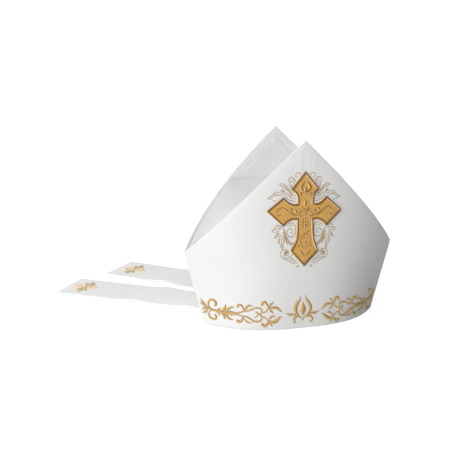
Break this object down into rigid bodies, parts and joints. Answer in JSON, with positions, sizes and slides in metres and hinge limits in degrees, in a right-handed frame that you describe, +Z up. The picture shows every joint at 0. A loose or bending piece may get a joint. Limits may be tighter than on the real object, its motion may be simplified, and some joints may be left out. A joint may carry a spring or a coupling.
{
  "type": "bishop mitre",
  "caption": "Tall pointed ceremonial hat of white satin, open on its rim, with a gold cross, an embroidered band and two lappets laid out behind it.",
  "frame": {"origin": "middle of the footprint, on the surface that the mitre and its lappets rest on", "axes": "+Z up, -Y towards the wearer's front, where the cross is, +X towards the right of someone who looks at that front"},
  "size_m": [0.4318, 0.3922, 0.257],
  "materials": {
    "white_satin": "soft satin",
    "grey_lining": "matt lining cloth",
    "gold_satin": "padded gold satin",
    "gold_thread": "satin-stitch thread"
  },
  "bodies": {
    "root": {"front_panel": "white_satin", "rear_panel": "white_satin", "gusset_web": "grey_lining", "lining_front": "grey_lining", "lining_rear": "grey_lining", "lappet_left": "white_satin", "lappet_right": "white_satin", "cross_applique": "gold_satin", "band_fleur": "gold_thread", "vine_left": "gold_thread", "vine_right": "gold_thread", "tip_motif_left": "gold_thread", "tip_motif_right": "gold_thread"}
  },
  "joints": []
}
